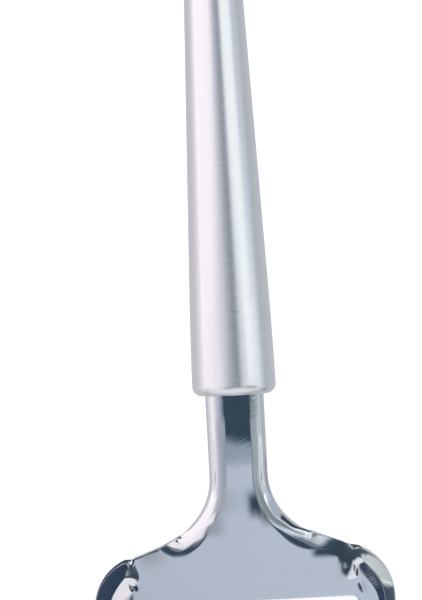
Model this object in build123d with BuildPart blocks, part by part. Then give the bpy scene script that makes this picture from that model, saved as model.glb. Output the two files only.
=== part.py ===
from build123d import *
import math
import os

# Cheese plane with a hollow tapered handle.  Millimetres, +Z up.
# X runs across the tool, +Y from the blade towards the handle's end.
# The origin is on the table, under the middle of the tool as it lies at rest:
# the handle is level, and the collar and the nose of the blade touch the table.
# "u" is the distance forward of the handle's front face, "t" the distance
# behind it, "w" the distance along the sloping plate from the neck's bend.

# ---------------------------------------------------------------- dimensions
R_COLLAR = 10.57        # handle's largest radius, at its front
R_MID = 10.04           # radius 26 mm behind the front face
T_MID = 26.0
R_REAR = 6.65           # radius at the rear end
L_TUBE = 125.0          # length of the handle's tube
RIM = 2.4               # rounding of the rolled-in mouth
WALL = 0.8              # wall of the tube

T = 1.2                 # sheet of the head
NECK_HALF = 7.42        # half width of the neck's channel
NECK_ROLL = 3.2         # outer radius of the channel's rolled edges
NECK_H = 3.8            # height of the channel
Z_NECK = 1.9            # top of the neck above the handle's axis
U_BEND = 12.7           # start of the neck's bend
R_BEND = 30.0           # radius of the bend, on the top face
BEND = 7.7              # slope of the plate, degrees

W_FLARE = 4.52          # start of the concave flare
R_FLARE = 16.0          # radius of the flare
A_FLARE = 69.0          # turn of the flare, degrees
FLANGE_RUN = 2.4        # straight end of the rolled flange after the flare
R_SHOULDER = 14.0       # radius of the shoulder
HALF = 38.3             # half width of the plate
W_SHOULDER = 37.0       # where the shoulder ends and the side begins
R_CORNER = 22.0         # nose: corner radius
R_NOSE = 60.0           # nose: front radius

SLOT_W0 = 36.2          # near edge of the slot
SLOT_W1 = 50.0          # root of the blade lip
SLOT_HALF = 28.7        # half width of the slot
SLOT_R = 1.8            # corner radius of the slot
LIP_W = 42.6            # cutting edge
LIP_DROP = 2.1          # cutting edge below the plate's top face
LIP_HALF = 28.2         # half width of the lip

RIB_IN = 8.8            # width of a side rib, from the outline to its foot
RIB_UP = 1.3            # height of its crest above the plate
RIB_DOWN = 3.6          # depth of its skirt below the plate's top face
RIB_A0 = 58.0           # where the rib starts on the shoulder, degrees before the side
RIB_W1 = 57.5           # where the rib ends on the side

TANG_HALF = 5.5         # half width of the tang
TANG_L = 34.0           # how far it reaches into the handle

CAP_BOSS = 8.10         # front cap: radius of the boss in the mouth
CAP_FLANGE = 9.30       # front cap: radius of the step behind the rim

PLUG_T0 = 2.0           # tang plug: front and rear ends
PLUG_T1 = 42.0

T_EYE = 133.2           # centre of the end cap's eye
R_EYE = 1.7             # its hole
LUG_HALF = 1.6          # half thickness of its lug
R_LUG = 4.0             # round end of the lug
R_RING = 10.0           # hanging ring: centreline radius
R_WIRE = 1.1            # hanging ring: wire radius

# ------------------------------------------------------------- derived values
a = math.radians(BEND)
sa, ca = math.sin(a), math.cos(a)
H = R_COLLAR                                   # height of the handle's axis
z_top = H + Z_NECK                             # top face of the neck
u_b = U_BEND + R_BEND * sa                     # end of the bend
z_b = z_top - R_BEND * (1 - ca)
W_NOSE = (z_b - T * ca) / sa                   # the nose's lower edge is on the table
u_nose = u_b + W_NOSE * ca
droop = math.degrees(math.asin((H - R_WIRE - 0.02) / (2 * R_RING)))   # ring resting on the table
t_end = T_EYE + 2 * R_RING * math.cos(math.radians(droop)) + R_WIRE
Y0 = (u_nose - t_end) / 2                      # the handle's front face


def on_neck(u):
    """Cross plane of the level neck: x across, y up from its top face, normal forwards."""
    return Plane(origin=(0, Y0 - u, z_top), x_dir=(1, 0, 0), z_dir=(0, -1, 0))


def at(x, w, z=0.0):
    """A point given on the sloping plate: across, along, above its top face."""
    return Vector(x, Y0 - u_b - w * ca - z * sa, z_b - w * sa + z * ca)


plate_plane = Plane(origin=at(0, 0), x_dir=(1, 0, 0), z_dir=(0, -sa, ca))
normal = plate_plane.z_dir


def across(x, w, beta=0.0):
    """Plane across an edge of the plate at (x, w) whose path has turned by beta degrees:
    x points out of the sheet, y up from its top face, the normal runs along the path."""
    b = math.radians(beta)
    out = at(math.cos(b), -math.sin(b)) - at(0, 0)
    run = at(math.sin(b), math.cos(b)) - at(0, 0)
    return Plane(origin=at(x, w), x_dir=out, z_dir=run)


def upright(x, w):
    """Axis through a point of the plate, square to it."""
    return Axis(at(x, w), normal)


# points of the outline (right half, in x and w)
af = math.radians(A_FLARE)
flare_c = (NECK_HALF + R_FLARE, W_FLARE)
flare_end = (flare_c[0] - R_FLARE * math.cos(af), flare_c[1] + R_FLARE * math.sin(af))
sh_c = (HALF - R_SHOULDER, W_SHOULDER)
sh_start = (sh_c[0] + R_SHOULDER * math.cos(af), sh_c[1] - R_SHOULDER * math.sin(af))
nose_c = (0.0, W_NOSE - R_NOSE)
dx = HALF - R_CORNER
corner_w = nose_c[1] + math.sqrt((R_NOSE - R_CORNER) ** 2 - dx ** 2)
corner_c = (dx, corner_w)
k = math.atan2(dx, corner_w - nose_c[1])
corner_end = (R_NOSE * math.sin(k), nose_c[1] + R_NOSE * math.cos(k))


def arc_mid(c, r, a0, a1):
    m = math.radians((a0 + a1) / 2)
    return (c[0] + r * math.cos(m), c[1] + r * math.sin(m))


def flip(p):
    """Outline points are kept as (x, w); on the plate's plane y is -w."""
    return (p[0], -p[1])


# the rib's top face: distance in from the outline, height above the plate
rib_pts = [(0.0, -RIB_DOWN + 1.2), (0.35, -1.25), (1.2, 0.05), (2.6, 0.92), (4.6, RIB_UP), (6.6, 0.85), (7.9, 0.22), (RIB_IN, 0.0)]

# ================================================================ blade_head
# One stamping.  The right half is built and mirrored.
with BuildPart() as blade_head:
    # tang: flat strip with two barbs, level with the neck's top face
    with BuildSketch(Plane.XY.offset(z_top - T)):
        with BuildLine():
            Polyline(
                (0, Y0 + 1.0), (4.2, Y0 + 1.0), (4.2, Y0 + 2.6), (TANG_HALF, Y0 + 3.4), (TANG_HALF, Y0 + 9.0), (TANG_HALF - 1.4, Y0 + 9.8),
                (TANG_HALF, Y0 + 13.5), (TANG_HALF - 1.4, Y0 + 14.3), (TANG_HALF, Y0 + 18.0),
                (TANG_HALF - 1.4, Y0 + 18.8), (TANG_HALF - 1.0, Y0 + 24.0), (3.0, Y0 + TANG_L), (0, Y0 + TANG_L),
                close=True,
            )
        make_face()
    extrude(amount=T)

    # neck: half of an inverted channel with rolled edges
    def half_channel():
        Line((0, 0), (NECK_HALF - NECK_ROLL, 0))
        CenterArc((NECK_HALF - NECK_ROLL, -NECK_ROLL), NECK_ROLL, 90, -90)
        Polyline((NECK_HALF, -NECK_ROLL), (NECK_HALF, -NECK_H), (NECK_HALF - T, -NECK_H), (NECK_HALF - T, -NECK_ROLL))
        CenterArc((NECK_HALF - NECK_ROLL, -NECK_ROLL), NECK_ROLL - T, 0, 90)
        Polyline((NECK_HALF - NECK_ROLL, -T), (0, -T), (0, 0))

    with BuildSketch(on_neck(-1.9)):
        with BuildLine():
            half_channel()
        make_face()
    extrude(amount=U_BEND + 1.9)
    with BuildSketch(on_neck(U_BEND)):
        with BuildLine():
            half_channel()
        make_face()
    revolve(axis=Axis((0, Y0 - U_BEND, z_top - R_BEND), (1, 0, 0)), revolution_arc=BEND)
    with BuildSketch(across(0, 0)):
        with BuildLine():
            half_channel()
        make_face()
    extrude(amount=W_FLARE)

    # flat plate inside the outline
    with BuildSketch(plate_plane):
        with BuildLine():
            Line((0, -W_FLARE), (NECK_HALF, -W_FLARE))
            ThreePointArc((NECK_HALF, -W_FLARE), flip(arc_mid(flare_c, R_FLARE, 180, 180 - A_FLARE)), flip(flare_end))
            Line(flip(flare_end), flip(sh_start))
            ThreePointArc(flip(sh_start), flip(arc_mid(sh_c, R_SHOULDER, -A_FLARE, 0)), (HALF, -W_SHOULDER))
            Line((HALF, -W_SHOULDER), (HALF, -corner_w))
            ThreePointArc((HALF, -corner_w), flip(arc_mid(corner_c, R_CORNER, 0, 90 - math.degrees(k))), flip(corner_end))
            ThreePointArc(flip(corner_end), flip(arc_mid(nose_c, R_NOSE, 90 - math.degrees(k), 90)), (0, -W_NOSE))
            Line((0, -W_NOSE), (0, -W_FLARE))
        make_face()
    extrude(amount=-T)

    # room for the rolled flange along the flare
    with BuildSketch(across(NECK_HALF, W_FLARE)):
        with Locations((-NECK_ROLL / 2 + 1.0, 0)):
            Rectangle(NECK_ROLL + 2.0, 4 * T)
    revolve(axis=upright(*flare_c), revolution_arc=A_FLARE, mode=Mode.SUBTRACT)
    with BuildSketch(across(flare_end[0], flare_end[1], A_FLARE)):
        with Locations((-NECK_ROLL / 2 + 1.0, 0)):
            Rectangle(NECK_ROLL + 2.0, 4 * T)
    extrude(amount=FLANGE_RUN, mode=Mode.SUBTRACT)

    # the rolled flange itself, and the wall that closes its end
    def flange_profile():
        Line((-NECK_ROLL - 0.8, 0), (-NECK_ROLL, 0))
        CenterArc((-NECK_ROLL, -NECK_ROLL), NECK_ROLL, 90, -90)
        Polyline((0, -NECK_ROLL), (0, -NECK_H), (-T, -NECK_H), (-T, -NECK_ROLL))
        CenterArc((-NECK_ROLL, -NECK_ROLL), NECK_ROLL - T, 0, 90)
        Polyline((-NECK_ROLL, -T), (-NECK_ROLL - 0.8, -T), (-NECK_ROLL - 0.8, 0))

    with BuildSketch(across(NECK_HALF, W_FLARE)):
        with BuildLine():
            flange_profile()
        make_face()
    revolve(axis=upright(*flare_c), revolution_arc=A_FLARE)
    with BuildSketch(across(flare_end[0], flare_end[1], A_FLARE)):
        with BuildLine():
            flange_profile()
        make_face()
    extrude(amount=FLANGE_RUN)
    with BuildSketch(across(flare_end[0] + (FLANGE_RUN - T) * math.sin(af), flare_end[1] + (FLANGE_RUN - T) * math.cos(af), A_FLARE)):
        with BuildLine():
            Polyline((-NECK_ROLL - 0.4, 0), (0, 0), (0, -NECK_H), (-T, -NECK_H), (-NECK_ROLL - 0.4, -T), close=True)
        make_face()
    extrude(amount=T)

    # room for the side rib
    with BuildSketch(across(HALF, W_SHOULDER)):
        with Locations((-RIB_IN / 2 + 1.0, 0)):
            Rectangle(RIB_IN + 2.0, 4 * T)
    revolve(axis=upright(*sh_c), revolution_arc=RIB_A0, mode=Mode.SUBTRACT)
    with BuildSketch(across(HALF, W_SHOULDER)):
        with Locations((-RIB_IN / 2 + 1.0, 0)):
            Rectangle(RIB_IN + 2.0, 4 * T)
    extrude(amount=RIB_W1 - W_SHOULDER, mode=Mode.SUBTRACT)

    # the rib: it rises from the plate, crests, and rolls down into a skirt
    def rib_profile(closed=False):
        top = [(-d, z) for d, z in rib_pts]
        low = [(-T, -RIB_DOWN + 1.2), (-T - 0.22, -1.62), (-1.9, -0.86), (-3.0, -0.24), (-4.6, RIB_UP - T), (-6.3, 0.85 - T - 0.12), (-7.6, 0.22 - T - 0.1), (-RIB_IN, -T)]
        Line((-RIB_IN - 0.6, 0), (-RIB_IN, 0))
        Spline(*reversed(top), tangents=[(1, 0), (0, -1)])
        if closed:
            Polyline((0, -RIB_DOWN + 1.2), (0, -RIB_DOWN), (-T, -RIB_DOWN), (-RIB_IN - 0.6, -T), (-RIB_IN - 0.6, 0))
        else:
            Polyline((0, -RIB_DOWN + 1.2), (0, -RIB_DOWN), (-T, -RIB_DOWN), (-T, -RIB_DOWN + 1.2))
            Spline(*low, tangents=[(0, 1), (-1, 0)])
            Polyline((-RIB_IN, -T), (-RIB_IN - 0.6, -T), (-RIB_IN - 0.6, 0))

    with BuildSketch(across(HALF, W_SHOULDER)):
        with BuildLine():
            rib_profile()
        make_face()
    revolve(axis=upright(*sh_c), revolution_arc=RIB_A0)
    with BuildSketch(across(HALF, W_SHOULDER)):
        with BuildLine():
            rib_profile()
        make_face()
    extrude(amount=RIB_W1 - W_SHOULDER)
    # walls that close its two ends
    b0 = math.radians(RIB_A0)
    with BuildSketch(across(sh_c[0] + R_SHOULDER * math.cos(b0), sh_c[1] - R_SHOULDER * math.sin(b0), RIB_A0)):
        with BuildLine():
            rib_profile(closed=True)
        make_face()
    extrude(amount=T)
    with BuildSketch(across(HALF, RIB_W1 - T)):
        with BuildLine():
            rib_profile(closed=True)
        make_face()
    extrude(amount=T)

    # slicing slot
    with BuildSketch(plate_plane):
        with BuildLine():
            Polyline((0, -SLOT_W0), (SLOT_HALF, -SLOT_W0), (SLOT_HALF, -SLOT_W1), (0, -SLOT_W1), close=True)
        make_face()
        fillet(vertices().group_by(Axis.X)[-1], SLOT_R)
    extrude(amount=3.0, both=True, mode=Mode.SUBTRACT)

    # blade lip: it ramps down from the nose plate to the ground edge, which faces the handle
    with BuildSketch(Plane(origin=at(0, 0), x_dir=at(0, 1) - at(0, 0), z_dir=(-1, 0, 0))):
        with BuildLine():
            Polyline(
                (SLOT_W1 + 0.6, 0), (SLOT_W1 - 0.4, 0), (LIP_W + 1.2, -LIP_DROP + 0.12), (LIP_W, -LIP_DROP),
                (LIP_W, -LIP_DROP - 0.12), (LIP_W + 2.4, -LIP_DROP + 0.34 - T), (SLOT_W1 - 0.2, -T), (SLOT_W1 + 0.6, -T),
                close=True,
            )
        make_face()
    extrude(amount=-LIP_HALF)

    mirror(about=Plane.YZ)
blade_head.part.label = "blade_head"

# =============================================================== handle_tube
def handle_plane():
    """Half section of the handle: x is the radius, y the distance t behind the front face."""
    return Plane(origin=(0, Y0, H), x_dir=(1, 0, 0), z_dir=(0, 0, 1))


handle_axis = Axis((0, Y0, H), (0, 1, 0))
r_face = R_COLLAR - RIM

with BuildPart() as handle_tube:
    with BuildSketch(handle_plane()):
        with BuildLine():
            CenterArc((r_face, RIM), RIM, -90, 90)
            Polyline((R_COLLAR, RIM), (R_MID, T_MID), (R_REAR, L_TUBE), (R_REAR - WALL, L_TUBE), (R_MID - WALL, T_MID), (R_COLLAR - WALL, RIM))
            CenterArc((r_face, RIM), RIM - WALL, 0, -90)
            Line((r_face, WALL), (r_face, 0))
        make_face()
    revolve(axis=handle_axis)
handle_tube.part.label = "handle_tube"

# ================================================================= front_cap
with BuildPart() as front_cap:
    with BuildSketch(handle_plane()):
        with BuildLine():
            Polyline((0, 0.15), (CAP_BOSS, 0.15), (CAP_BOSS, WALL + 0.04), (CAP_BOSS + 0.3, WALL + 0.1), (CAP_FLANGE - 0.3, WALL + 0.5), (CAP_FLANGE, WALL + 0.85), (CAP_FLANGE, PLUG_T0 - 0.1), (0, PLUG_T0 - 0.1), close=True)
        make_face()
    revolve(axis=handle_axis)
    # slot that takes the neck's channel
    with BuildSketch(on_neck(-3.0)):
        with BuildLine():
            g = 0.06
            Polyline((-NECK_HALF - g, -NECK_ROLL), (-NECK_HALF - g, -NECK_H - g), (NECK_HALF + g, -NECK_H - g), (NECK_HALF + g, -NECK_ROLL))
            CenterArc((NECK_HALF - NECK_ROLL, -NECK_ROLL), NECK_ROLL + g, 0, 90)
            Line((NECK_HALF - NECK_ROLL, g), (-NECK_HALF + NECK_ROLL, g))
            CenterArc((-NECK_HALF + NECK_ROLL, -NECK_ROLL), NECK_ROLL + g, 90, 90)
        make_face()
    extrude(amount=4.0, mode=Mode.SUBTRACT)
front_cap.part.label = "front_cap"

# ================================================================= tang_plug
taper = (R_MID - R_REAR) / (L_TUBE - T_MID)
with BuildPart() as tang_plug:
    gap = 0.12
    with BuildSketch(handle_plane()):
        with BuildLine():
            Polyline(
                (0, PLUG_T0), (R_COLLAR - WALL - gap - 0.8, PLUG_T0), (R_COLLAR - WALL - gap, PLUG_T0 + 0.9),
                (R_MID - WALL - gap, T_MID), (R_MID - WALL - gap - taper * (PLUG_T1 - T_MID), PLUG_T1),
                (0, PLUG_T1), close=True,
            )
        make_face()
    revolve(axis=handle_axis)
    # pocket for the tang
    with BuildSketch(Plane.XY.offset(z_top - T - 0.05)):
        with Locations((0, Y0 + (TANG_L + 0.4) / 2)):
            Rectangle(2 * TANG_HALF + 0.1, TANG_L + 0.4)
    extrude(amount=T + 0.1, mode=Mode.SUBTRACT)
    # lightening hollow, open to the rear
    with BuildSketch(Plane(origin=(0, Y0 + PLUG_T1, H - 4.4), x_dir=(1, 0, 0), z_dir=(0, 1, 0))):
        Circle(2.2)
    extrude(amount=-30.0, mode=Mode.SUBTRACT)
tang_plug.part.label = "tang_plug"

# =================================================================== end_cap
with BuildPart() as end_cap:
    with BuildSketch(handle_plane()):
        with BuildLine():
            Polyline((0, L_TUBE - 6.0), (R_REAR - WALL - 0.5, L_TUBE - 6.0), (R_REAR - WALL - 0.05, L_TUBE - 5.4), (R_REAR - WALL - 0.05, L_TUBE + 0.02), (R_REAR, L_TUBE + 0.02), (R_REAR - 0.03, L_TUBE + 1.0))
            ThreePointArc((R_REAR - 0.03, L_TUBE + 1.0), (4.6, L_TUBE + 3.15), (0, L_TUBE + 4.0))
            Line((0, L_TUBE + 4.0), (0, L_TUBE - 6.0))
        make_face()
    revolve(axis=handle_axis)
    # lug with the eye
    with BuildSketch(Plane(origin=(-LUG_HALF, Y0, H), x_dir=(0, 1, 0), z_dir=(1, 0, 0))):
        with BuildLine():
            Polyline((T_EYE, -R_LUG), (L_TUBE + 1.5, -R_LUG), (L_TUBE + 1.5, R_LUG), (T_EYE, R_LUG))
            CenterArc((T_EYE, 0), R_LUG, 90, -180)
        make_face()
        with Locations((T_EYE, 0)):
            Circle(R_EYE, mode=Mode.SUBTRACT)
    extrude(amount=2 * LUG_HALF)
end_cap.part.label = "end_cap"

# ============================================================== hanging_ring
dr = math.radians(droop)
ring_out = Vector(0, math.cos(dr), -math.sin(dr))
eye = Vector(0, Y0 + T_EYE, H)
with BuildPart() as hanging_ring:
    with BuildSketch(Plane(origin=eye + ring_out * R_RING, x_dir=ring_out, z_dir=(1, 0, 0))):
        with Locations((-R_RING, 0)):
            Circle(R_WIRE)
    revolve(axis=Axis(eye + ring_out * R_RING, Vector(0, math.sin(dr), math.cos(dr))))
hanging_ring.part.label = "hanging_ring"

# ==================================================================== output
pieces = {
    "blade_head": blade_head, "handle_tube": handle_tube, "front_cap": front_cap,
    "tang_plug": tang_plug, "end_cap": end_cap, "hanging_ring": hanging_ring,
}
os.makedirs("parts", exist_ok=True)
for name, piece in pieces.items():
    export_step(piece.part, "parts/" + name + ".step")

print("Y0 %.3f  W_NOSE %.3f  u_nose %.3f  droop %.3f  eye (%.3f, %.3f)" % (Y0, W_NOSE, u_nose, droop, eye.Y, eye.Z))
for name, piece in pieces.items():
    b = piece.part.bounding_box()
    print("%-13s solids %d  volume %9.2f  x %.2f..%.2f  y %.2f..%.2f  z %.2f..%.2f" % (
        name, len(piece.part.solids()), piece.part.volume, b.min.X, b.max.X, b.min.Y, b.max.Y, b.min.Z, b.max.Z))
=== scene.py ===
import math

import bpy
import numpy as np
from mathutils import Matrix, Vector
from mathutils.geometry import delaunay_2d_cdt


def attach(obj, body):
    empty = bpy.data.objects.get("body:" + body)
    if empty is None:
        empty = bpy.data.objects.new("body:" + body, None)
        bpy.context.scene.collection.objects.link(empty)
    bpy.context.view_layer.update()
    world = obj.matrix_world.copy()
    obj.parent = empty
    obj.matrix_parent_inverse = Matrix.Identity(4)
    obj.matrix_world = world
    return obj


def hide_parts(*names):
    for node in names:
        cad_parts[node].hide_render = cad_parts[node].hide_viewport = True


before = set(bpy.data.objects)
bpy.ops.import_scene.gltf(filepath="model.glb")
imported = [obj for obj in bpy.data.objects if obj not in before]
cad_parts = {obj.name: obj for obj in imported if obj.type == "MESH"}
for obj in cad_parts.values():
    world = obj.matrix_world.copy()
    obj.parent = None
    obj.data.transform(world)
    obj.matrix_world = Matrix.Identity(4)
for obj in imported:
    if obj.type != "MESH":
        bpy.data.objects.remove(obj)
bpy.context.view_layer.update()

MM = 0.001

# ------------------------------------------------------------------ sizes (mm)
# the same driving sizes as the CAD model
R_COLLAR, R_MID, T_MID, R_REAR, L_TUBE, RIM, WALL = 10.57, 10.04, 26.0, 6.65, 125.0, 2.4, 0.8
T, NECK_HALF, NECK_H, Z_NECK, U_BEND, R_BEND = 1.2, 7.42, 3.8, 1.9, 12.7, 30.0
SA, CA = math.sin(math.radians(7.7)), math.cos(math.radians(7.7))
W_FLARE, R_FLARE, A_FLARE, R_SHOULDER, HALF, W_SHOULDER, R_CORNER, R_NOSE = 4.52, 16.0, 69.0, 14.0, 38.3, 37.0, 22.0, 60.0
SLOT_W0, SLOT_W1, SLOT_HALF, SLOT_R, LIP_W, LIP_DROP, LIP_HALF = 36.2, 50.0, 28.7, 1.8, 42.6, 2.1, 28.2
CAP_BOSS, T_EYE, R_EYE, LUG_HALF, R_LUG, R_RING, R_WIRE = 8.10, 133.2, 1.7, 1.6, 4.0, 10.0, 1.1

H = R_COLLAR
Z_TOP = H + Z_NECK
U_B = U_BEND + R_BEND * SA
Z_B = Z_TOP - R_BEND * (1 - CA)
W_NOSE = (Z_B - T * CA) / SA
S_B = U_BEND + R_BEND * math.radians(7.7)      # distance along the sheet where the CAD bend ends
R_SOFT = 80.0                                  # the bend as it looks: wide and soft, between the same two planes
S_SOFT = U_BEND - (R_SOFT - R_BEND) * math.tan(math.radians(7.7) / 2)
L_SOFT = R_SOFT * math.radians(7.7)
W_SOFT = (R_SOFT - R_BEND) * math.tan(math.radians(7.7) / 2)
DROOP = math.asin((H - R_WIRE - 0.02) / (2 * R_RING))
Y0 = (U_B + W_NOSE * CA - (T_EYE + 2 * R_RING * math.cos(DROOP) + R_WIRE)) / 2
RIMR = 0.25                                    # broken edges of the sheet


def smooth(x):
    x = np.clip(x, 0.0, 1.0)
    return x * x * (3 - 2 * x)


def on_sheet(x, s, h):
    """Flat coordinates of the head (across, along from the collar, above the top face) to the row frame, in metres."""
    x, s, h = np.broadcast_arrays(np.asarray(x, float), np.asarray(s, float), np.asarray(h, float))
    # s is measured as in the CAD; the soft bend is a little shorter along the sheet than the tight one
    k = L_SOFT / (S_B + W_SOFT - S_SOFT)
    phi = np.clip((s - S_SOFT) * k / R_SOFT, 0.0, math.radians(7.7))
    s1 = np.minimum(s, S_SOFT)
    w = np.maximum(s - S_B - W_SOFT, 0.0)
    y = Y0 - s1 - (R_SOFT + h) * np.sin(phi) - w * CA
    z = np.maximum(Z_TOP - R_SOFT + (R_SOFT + h) * np.cos(phi) - w * SA, 0.0)
    return np.stack([x, y, z], -1) * MM


# ------------------------------------------------------------------- materials
def new_mat(name):
    m = bpy.data.materials.new(name)
    m.use_nodes = True
    nt = m.node_tree
    nt.nodes.clear()
    out = nt.nodes.new("ShaderNodeOutputMaterial")
    bsdf = nt.nodes.new("ShaderNodeBsdfPrincipled")
    nt.links.new(bsdf.outputs[0], out.inputs[0])
    return m, nt, bsdf


def node(nt, kind, **kw):
    n = nt.nodes.new(kind)
    for k, v in kw.items():
        if k.startswith("in_"):
            key = k[3:]
            n.inputs[int(key) if key.isdigit() else key].default_value = v
        else:
            setattr(n, k, v)
    return n


def obj_coords(nt, scale):
    tc = node(nt, "ShaderNodeTexCoord")
    mp = node(nt, "ShaderNodeMapping")
    mp.inputs["Scale"].default_value = scale
    nt.links.new(tc.outputs["Object"], mp.inputs["Vector"])
    return mp.outputs["Vector"]


def polished_steel(name, tint=(0.735, 0.75, 0.775), rough=0.07, scratch=0.25):
    """Mirror-polished stainless sheet: faint hairlines from polishing, slight waviness."""
    m, nt, b = new_mat(name)
    b.inputs["Metallic"].default_value = 1.0
    n1 = node(nt, "ShaderNodeTexNoise", in_Scale=60.0, in_Detail=3.0)
    nt.links.new(obj_coords(nt, (1.0, 1.0, 1.0)), n1.inputs["Vector"])
    col = node(nt, "ShaderNodeMapRange")
    nt.links.new(n1.outputs["Fac"], col.inputs["Value"])
    col.inputs["From Min"].default_value, col.inputs["From Max"].default_value = 0.35, 0.65
    mix = node(nt, "ShaderNodeMix", data_type="RGBA")
    mix.inputs["A"].default_value = (tint[0] * 0.97, tint[1] * 0.97, tint[2] * 0.97, 1)
    mix.inputs["B"].default_value = (tint[0], tint[1], tint[2], 1)
    nt.links.new(col.outputs["Result"], mix.inputs["Factor"])
    nt.links.new(mix.outputs["Result"], b.inputs["Base Color"])
    # hairlines that run slantwise, as a polishing mop leaves them
    tc = node(nt, "ShaderNodeTexCoord")
    mp = node(nt, "ShaderNodeMapping", vector_type="TEXTURE")
    mp.inputs["Rotation"].default_value = (0, 0, math.radians(24))
    mp.inputs["Scale"].default_value = (1 / 120.0, 1 / 1900.0, 1 / 300.0)
    nt.links.new(tc.outputs["Object"], mp.inputs["Vector"])
    n2 = node(nt, "ShaderNodeTexNoise", in_Scale=1.0, in_Detail=2.0)
    nt.links.new(mp.outputs["Vector"], n2.inputs["Vector"])
    rg = node(nt, "ShaderNodeMapRange")
    nt.links.new(n2.outputs["Fac"], rg.inputs["Value"])
    rg.inputs["From Min"].default_value, rg.inputs["From Max"].default_value = 0.3, 0.7
    rg.inputs["To Min"].default_value, rg.inputs["To Max"].default_value = rough * 0.7, rough * 1.35
    nt.links.new(rg.outputs["Result"], b.inputs["Roughness"])
    bump = node(nt, "ShaderNodeBump")
    bump.inputs["Strength"].default_value = scratch
    bump.inputs["Distance"].default_value = 0.00003
    nt.links.new(n2.outputs["Fac"], bump.inputs["Height"])
    nt.links.new(bump.outputs["Normal"], b.inputs["Normal"])
    return m


def satin_steel(name, tint=(0.80, 0.80, 0.81), rough=0.30, aniso=0.75):
    """Satin stainless, brushed round the handle's axis (Y): fine rings that break up along the way."""
    m, nt, b = new_mat(name)
    b.inputs["Metallic"].default_value = 1.0
    b.inputs["Anisotropic"].default_value = aniso
    b.inputs["Anisotropic Rotation"].default_value = 0.25
    n1 = node(nt, "ShaderNodeTexNoise", in_Scale=1.0, in_Detail=3.0, in_Roughness=0.6)
    nt.links.new(obj_coords(nt, (70.0, 7000.0, 70.0)), n1.inputs["Vector"])
    n2 = node(nt, "ShaderNodeTexNoise", in_Scale=1.0, in_Detail=2.0)
    nt.links.new(obj_coords(nt, (40.0, 900.0, 40.0)), n2.inputs["Vector"])
    add = node(nt, "ShaderNodeMath", operation="MULTIPLY_ADD")
    nt.links.new(n1.outputs["Fac"], add.inputs[0])
    add.inputs[1].default_value = 0.7
    scl = node(nt, "ShaderNodeMath", operation="MULTIPLY")
    nt.links.new(n2.outputs["Fac"], scl.inputs[0])
    scl.inputs[1].default_value = 0.3
    nt.links.new(scl.outputs[0], add.inputs[2])
    col = node(nt, "ShaderNodeMapRange")
    nt.links.new(add.outputs[0], col.inputs["Value"])
    col.inputs["From Min"].default_value, col.inputs["From Max"].default_value = 0.3, 0.7
    mix = node(nt, "ShaderNodeMix", data_type="RGBA")
    mix.inputs["A"].default_value = (tint[0] * 0.93, tint[1] * 0.93, tint[2] * 0.94, 1)
    mix.inputs["B"].default_value = (tint[0], tint[1], tint[2], 1)
    nt.links.new(col.outputs["Result"], mix.inputs["Factor"])
    nt.links.new(mix.outputs["Result"], b.inputs["Base Color"])
    rg = node(nt, "ShaderNodeMapRange")
    nt.links.new(add.outputs[0], rg.inputs["Value"])
    rg.inputs["From Min"].default_value, rg.inputs["From Max"].default_value = 0.3, 0.7
    rg.inputs["To Min"].default_value, rg.inputs["To Max"].default_value = rough * 0.85, rough * 1.2
    nt.links.new(rg.outputs["Result"], b.inputs["Roughness"])
    bump = node(nt, "ShaderNodeBump")
    bump.inputs["Strength"].default_value = 0.06
    bump.inputs["Distance"].default_value = 0.00002
    nt.links.new(add.outputs[0], bump.inputs["Height"])
    nt.links.new(bump.outputs["Normal"], b.inputs["Normal"])
    tg = node(nt, "ShaderNodeTangent", direction_type="RADIAL", axis="Y")
    nt.links.new(tg.outputs[0], b.inputs["Tangent"])
    return m


def plug_plastic(name):
    m, nt, b = new_mat(name)
    n1 = node(nt, "ShaderNodeTexNoise", in_Scale=900.0, in_Detail=2.0)
    nt.links.new(obj_coords(nt, (1, 1, 1)), n1.inputs["Vector"])
    mix = node(nt, "ShaderNodeMix", data_type="RGBA")
    mix.inputs["A"].default_value = (0.10, 0.10, 0.11, 1)
    mix.inputs["B"].default_value = (0.14, 0.14, 0.15, 1)
    nt.links.new(n1.outputs["Fac"], mix.inputs["Factor"])
    nt.links.new(mix.outputs["Result"], b.inputs["Base Color"])
    b.inputs["Roughness"].default_value = 0.6
    bump = node(nt, "ShaderNodeBump")
    bump.inputs["Strength"].default_value = 0.2
    bump.inputs["Distance"].default_value = 0.00002
    nt.links.new(n1.outputs["Fac"], bump.inputs["Height"])
    nt.links.new(bump.outputs["Normal"], b.inputs["Normal"])
    return m


M_HEAD = polished_steel("polished_sheet")
M_HANDLE = satin_steel("satin_tube")
M_CAP = satin_steel("turned_cap", tint=(0.70, 0.71, 0.73), rough=0.34, aniso=0.4)
M_WIRE = polished_steel("polished_wire", rough=0.12, scratch=0.08)
M_PLUG = plug_plastic("moulded_plug")


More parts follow.
